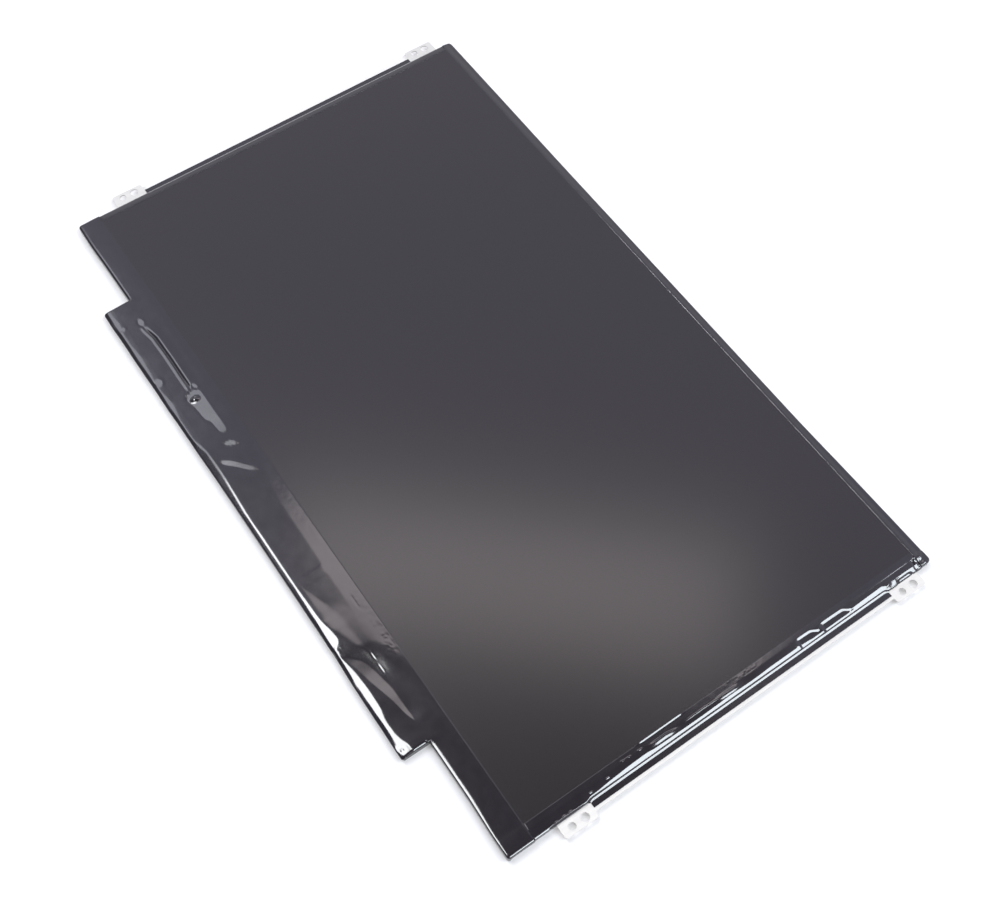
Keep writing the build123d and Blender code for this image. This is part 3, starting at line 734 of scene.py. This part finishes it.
cover_film = finish(
    "cover_film", (0.02, 0.02, 0.022), (0.013, 0.013, 0.015),
    scale=1.5, roughness=0.25, spread_by=0.05, bump_depth=0.004,
)


def painted_light_between(material, low, high, colour, shade):
    """Painted light: a paler tint of a material's own grain between two places along Y, in millimetres."""
    tree = material.node_tree
    shader = tree.nodes["Principled BSDF"]
    grain = next(node for node in tree.nodes if node.type == "TEX_NOISE")
    own = shader.inputs["Base Color"].links[0].from_socket
    place = tree.nodes.new("ShaderNodeTexCoord")
    parts = tree.nodes.new("ShaderNodeSeparateXYZ")
    along = tree.nodes.new("ShaderNodeMapRange")
    along.inputs["From Min"].default_value = low * MM
    along.inputs["From Max"].default_value = high * MM
    stretch = tree.nodes.new("ShaderNodeValToRGB")
    stretch.color_ramp.elements[0].position = 0.002
    stretch.color_ramp.elements[1].position = 0.01
    for stop, level in ((0.99, 1), (0.998, 0)):
        stretch.color_ramp.elements.new(stop).color = (level, level, level, 1)
    pale = tree.nodes.new("ShaderNodeValToRGB")
    pale.color_ramp.elements[0].color = (*shade, 1)
    pale.color_ramp.elements[1].color = (*colour, 1)
    both = tree.nodes.new("ShaderNodeMix")
    both.data_type = "RGBA"
    tree.links.new(place.outputs["Object"], parts.inputs["Vector"])
    tree.links.new(parts.outputs["Y"], along.inputs["Value"])
    tree.links.new(along.outputs["Result"], stretch.inputs["Fac"])
    tree.links.new(grain.outputs["Fac"], pale.inputs["Fac"])
    tree.links.new(stretch.outputs["Color"], both.inputs["Factor"])
    tree.links.new(own, both.inputs["A"])
    tree.links.new(pale.outputs["Color"], both.inputs["B"])
    tree.links.new(both.outputs["Result"], shader.inputs["Base Color"])


# Painted light: the left rail's shaded steel is made paler between its ears
painted_light_between(left_rail_painted_shade, LEDGE_NEAR, LEDGE_FAR, (0.93, 0.925, 0.89), (0.89, 0.885, 0.85))

FINISHES = {
    "rear_plate": plate_metal,
    "mould_frame": frame_plastic,
    "reflector_sheet": white_film,
    "light_guide_plate": guide_acrylic,
    "lower_diffuser": diffuser_film,
    "lower_prism_sheet": prism_film,
    "upper_prism_sheet": prism_film,
    "upper_diffuser": diffuser_film,
    "light_bar_flex": flex_film,
    "light_bar_leds": diode_resin,
    "cell_tape": bond_foam,
    "rear_polariser": polariser,
    "array_glass": cell_glass,
    "filter_glass": cell_glass,
    "front_polariser": polariser,
    "driver_chips": chip_resin,
    "board_flexes": flex_film,
    "driver_board": board_mask,
    "timing_controller": chip_resin,
    "light_driver_chip": chip_resin,
    "memory_chip": chip_resin,
    "power_inductors": ferrite,
    "board_capacitors": capacitor_body,
    "light_bar_connector": socket_resin,
    "signal_connector": socket_resin,
    "connector_shell": shell_steel,
    "connector_contacts": contact_metal,
    "board_cover_film": cover_film,
    "right_bracket": bracket,
    "left_bracket": left_rail_painted_shade,
    "right_tape": black_tape,
    "left_tape": black_tape,
    "far_tape": black_tape,
    "board_tape": black_tape,
}
for name, material in FINISHES.items():
    nodes[name].data.materials.clear()
    nodes[name].data.materials.append(material)

# Board tape piece: fine over the strip, wider beside it
strip_left = film_low[0] - TAPE + STRIP_ROLL
strip_right = film_high[0] + TAPE - STRIP_ROLL
strip_out = board_low[1] + STRIP_ROLL
body_out = BODY_NEAR + BODY_ROLL
board_xs = np.unique(np.concatenate([
    spread(-left_inset, strip_left, BODY_STEP),
    spread(strip_left, strip_right, STRIP_STEP),
    spread(strip_right, right_inset, BODY_STEP),
]))
lip_start = board_high[1] - BOARD_LIP - 0.1
board_ys = np.unique(np.concatenate([
    spread(strip_out, body_out, STRIP_ROW),
    spread(body_out, lip_start, BODY_ROW),
    spread(lip_start, board_high[1], LIP_ROW),
]))
ROOT_ROOM = 0.9

# How far the loose film stands out beyond the body's far edge
far_bulge = line((-134, 0.95), (-100, 0.8), (-50, 0.5), (0, 0.45), (70, 0.35), (100, 0.75), (134, 1.0))


def board_roll(x, y):
    """Radius of the rolled edge, smaller at the two inner corners where the strip leaves the body."""
    room = np.full(np.shape(x), np.inf)
    for root in (strip_left, strip_right):
        room = np.minimum(room, np.hypot(x - root, y - body_out))
    radius = np.where(y < body_out - NEAR, STRIP_ROLL, end_roll(x))
    return np.minimum(radius, 0.1 + ROOT_ROOM * room)


def end_roll(x):
    """Radius of the rolled edge of a long side's tape, smaller at its two ends."""
    return END_ROLL + (BODY_ROLL - END_ROLL) * ramp(np.minimum(x + left_inset, right_inset - x) / 1.5)


def on_side(x):
    return (x < NEAR - left_inset) | (x > right_inset - NEAR)


def board_hem(x, y):
    around_strip = (x > strip_left - NEAR) & (x < strip_right + NEAR) & (y < body_out - NEAR)
    return np.where(around_strip, STRIP_HEM, np.where(on_side(x), SIDE_HEM, BODY_HEM))


def board_shape(x, y):
    beside = near_bulge(x) * np.clip((slope_line(x) - y) / (slope_line(x) - body_out), 0, 1) ** 2
    return x, y - beside - strip_bulge(x) * np.clip((body_out - y) / (body_out - strip_out), 0, 1) ** 2


board_points, board_faces = drape(
    board_xs,
    board_ys,
    lambda x, y: (y > body_out) | ((x > strip_left) & (x < strip_right)),
    lambda x, y: y > board_high[1] - NEAR,
    board_height,
    board_roll,
    board_hem,
    (
        ((-left_inset, body_out), CORNER),
        ((right_inset, body_out), CORNER),
        ((strip_left, strip_out), STRIP_CORNER),
        ((strip_right, strip_out), STRIP_CORNER),
    ),
    board_shape,
)
tape_piece("board_tape_film", "board_tape", board_points, board_faces, black_tape)

# Side tape pieces, both drawn at the right
side_ys = np.unique(np.concatenate([
    spread(right_low[1], LEDGE_NEAR, SIDE_ROW),
    spread(LEDGE_NEAR, LEDGE_FAR, SIDE_ROW),
    spread(LEDGE_FAR, right_high[1], SIDE_ROW),
]))


def side_tape(name, node, inner, outer, ledge, height, mirrored):
    """A short side's tape: along the whole side over the shoulder, and between the ears over the flange."""
    lip_end = inner + 2 * SIDE_LIP
    xs = [
        spread(inner, lip_end, FINE_ROW),
        spread(lip_end, outer, SIDE_STEP),
        spread(outer, ledge, SIDE_STEP),
    ]

    def at_ends(y):
        return (y < side_ys[0] + NEAR) | (y > side_ys[-1] - NEAR)

    points, faces = drape(
        np.unique(np.concatenate(xs)),
        side_ys,
        lambda x, y: (x < outer) | ((y > LEDGE_NEAR) & (y < LEDGE_FAR)),
        lambda x, y: (x < inner + NEAR) | ((x < outer + NEAR) & at_ends(y)),
        height,
        lambda x, y: np.where(x > outer + NEAR, LEDGE_ROLL, SIDE_ROLL),
        lambda x, y: np.where((y > rail_low[1]) & (y < rail_high[1]), rail_high[2] + SHEET, SIDE_HEM),
    )
    if mirrored:
        points = points * (-1, 1, 1)
        faces = faces[:, ::-1]
    return tape_piece(name, node, points, faces, black_tape)


right_ledge = right_high[0] - LEDGE_ROLL
left_ledge = LEFT_LEDGE - LEDGE_ROLL
side_tape("right_tape_film", "right_tape", right_low[0], right_inset, right_ledge, right_height, False)
side_tape("left_tape_film", "left_tape", -left_high[0], left_inset, left_ledge, left_height, True)

# Far tape piece
far_out = BODY_FAR - BODY_ROLL
far_lip_end = far_low[1] + 2 * FAR_LIP
far_points, far_faces = drape(
    spread(-left_inset, right_inset, FAR_STEP),
    np.unique(np.concatenate([
        spread(far_low[1], far_lip_end, FINE_ROW),
        spread(far_lip_end, far_out, FAR_ROW),
    ])),
    lambda x, y: y < BODY_FAR,
    lambda x, y: y < far_low[1] + NEAR,
    far_height,
    lambda x, y: end_roll(x),
    lambda x, y: np.where(on_side(x), SIDE_HEM, BODY_HEM),
    (((-left_inset, far_out), CORNER), ((right_inset, far_out), CORNER)),
    lambda x, y: (x, y + far_bulge(x) * np.clip((y - far_low[1]) / (far_out - far_low[1]), 0, 1) ** 2),
)
tape_piece("far_tape_film", "far_tape", far_points, far_faces, black_tape)

# Floor: white to the eye, and it keeps the panel's soft shadow
FLOOR_HALF = 6.0
FLOOR_DROP = 0.05 * MM
FLOOR_GLOW = 0.2
floor_mesh = bpy.data.meshes.new("floor")
floor_mesh.from_pydata(
    [(x * FLOOR_HALF, y * FLOOR_HALF, -FLOOR_DROP) for x, y in ((-1, -1), (1, -1), (1, 1), (-1, 1))],
    [],
    [(0, 1, 2, 3)],
)
floor = bpy.data.objects.new("floor", floor_mesh)
bpy.context.scene.collection.objects.link(floor)
paper = bpy.data.materials.new("floor_paper")
paper.use_nodes = True
tree = paper.node_tree
shader = tree.nodes["Principled BSDF"]
shader.inputs["Base Color"].default_value = (0.8, 0.8, 0.8, 1)
shader.inputs["Roughness"].default_value = 0.9
shader.inputs["Emission Color"].default_value = (1, 1, 1, 1)
path = tree.nodes.new("ShaderNodeLightPath")
seen = tree.nodes.new("ShaderNodeMath")
seen.operation = "MAXIMUM"
through = tree.nodes.new("ShaderNodeMath")
through.operation = "MAXIMUM"
glow = tree.nodes.new("ShaderNodeMath")
glow.operation = "MULTIPLY"
glow.inputs[1].default_value = FLOOR_GLOW
tree.links.new(path.outputs["Is Camera Ray"], seen.inputs[0])
tree.links.new(path.outputs["Is Glossy Ray"], seen.inputs[1])
tree.links.new(seen.outputs["Value"], through.inputs[0])
tree.links.new(path.outputs["Is Transmission Ray"], through.inputs[1])
tree.links.new(through.outputs["Value"], glow.inputs[0])
tree.links.new(glow.outputs["Value"], shader.inputs["Emission Strength"])
floor_mesh.materials.append(paper)

# World: pale at the horizon, bright at half height, dim overhead and at the front
world = bpy.data.worlds.new("studio")
bpy.context.scene.world = world
world.use_nodes = True
tree = world.node_tree
background = tree.nodes["Background"]
place = tree.nodes.new("ShaderNodeTexCoord")
parts = tree.nodes.new("ShaderNodeSeparateXYZ")
sky = tree.nodes.new("ShaderNodeValToRGB")
SKY = (
    (0.0, (0.6, 0.6, 0.61)),
    (0.15, (0.3, 0.3, 0.31)),
    (0.4, (0.55, 0.54, 0.58)),
    (0.52, (0.88, 0.86, 0.93)),
    (0.62, (0.82, 0.8, 0.88)),
    (0.7, (0.68, 0.655, 0.76)),
    (0.76, (0.62, 0.595, 0.72)),
    (0.84, (0.6, 0.575, 0.7)),
    (0.88, (0.52, 0.5, 0.59)),
    (0.92, (0.42, 0.4, 0.45)),
    (0.95, (0.22, 0.196, 0.208)),
    (1.0, (0.12, 0.105, 0.112)),
)
while len(sky.color_ramp.elements) < len(SKY):
    sky.color_ramp.elements.new(0.5)
for stop, (height, colour) in zip(sky.color_ramp.elements, SKY):
    stop.position = height
    stop.color = (*colour, 1)
tree.links.new(place.outputs["Generated"], parts.inputs["Vector"])
tree.links.new(parts.outputs["Z"], sky.inputs["Fac"])
tree.links.new(sky.outputs["Color"], background.inputs["Color"])
front = tree.nodes.new("ShaderNodeMapRange")
FRONT_DIM = 0.3
FRONT_EDGE = (-0.34, -0.2)
front.inputs["From Min"].default_value = FRONT_EDGE[0]
front.inputs["From Max"].default_value = FRONT_EDGE[1]
front.inputs["To Min"].default_value = FRONT_DIM
tree.links.new(parts.outputs["Y"], front.inputs["Value"])
tree.links.new(front.outputs["Result"], background.inputs["Strength"])


def softbox(name, over, towards, along, distance, size, radiance, colour):
    """A rectangular lamp that a place on the panel sees in the given direction.

    The first of its two sizes runs along the given axis.
    """
    lamp = bpy.data.lights.new(name, "AREA")
    lamp.shape = "RECTANGLE"
    lamp.size, lamp.size_y = size
    lamp.energy = radiance * math.pi * size[0] * size[1]
    lamp.color = colour
    back = Vector(towards).normalized()
    side = (Vector(along) - back * Vector(along).dot(back)).normalized()
    up = back.cross(side)
    box = bpy.data.objects.new(name, lamp)
    place = Vector((over[0] * MM, over[1] * MM, 0)) + back * distance
    box.matrix_world = Matrix.Translation(place) @ Matrix((side, up, back)).transposed().to_4x4()
    bpy.context.scene.collection.objects.link(box)


softbox(
    "front_softbox", over=(45, -84), towards=(-0.375, -0.196, 1.12), along=(1, 0, 0),
    distance=1.2, size=(0.54, 0.26), radiance=11.5, colour=(0.97, 0.98, 1.0),
)
softbox(
    "left_softbox", over=(-55, -80), towards=(-0.583, -0.104, 0.993), along=(1, 0, 0),
    distance=1.16, size=(0.526, 0.22), radiance=2.0, colour=(0.9, 0.92, 1.0),
)
softbox(
    "side_softbox", over=(133, 0), towards=(0.31, 0.241, 0.9), along=(0, 1, 0),
    distance=1.18, size=(0.8, 0.27), radiance=10.5, colour=(0.88, 0.95, 1.0),
)
softbox(
    "top_softbox", over=(0, 0), towards=(-0.417, 0.3236, 1.37), along=(0.67, 0.74, 0),
    distance=1.468, size=(0.65, 0.175), radiance=1.85, colour=(1.0, 0.91, 0.9),
)
softbox(
    "low_softbox", over=(-133, 0), towards=(-0.898, 0.264, 0.363), along=(0, 1, 0),
    distance=1.2, size=(0.55, 0.2), radiance=3.0, colour=(0.95, 0.95, 1.0),
)

# Camera at the photograph's angle
CAMERA_PLACE = (0.20264, -0.13173, 0.38969)
CAMERA_AIM = (0.0259, -0.0081, 0.0030)
CAMERA_ROLL = math.radians(0.243)
CAMERA_LENS = 49.41
camera = bpy.data.objects.new("camera", bpy.data.cameras.new("camera"))
bpy.context.scene.collection.objects.link(camera)
camera.location = CAMERA_PLACE
camera_turn = (Vector(CAMERA_AIM) - camera.location).to_track_quat("-Z", "Y")
camera_turn = camera_turn @ Quaternion((0, 0, 1), CAMERA_ROLL)
camera.rotation_euler = camera_turn.to_euler()
camera.data.sensor_fit = "HORIZONTAL"
camera.data.sensor_width = 36.0
camera.data.lens = CAMERA_LENS
camera.data.clip_start = 0.01
camera.data.clip_end = 50.0
bpy.context.scene.camera = camera

bpy.context.scene.view_settings.view_transform = "Standard"
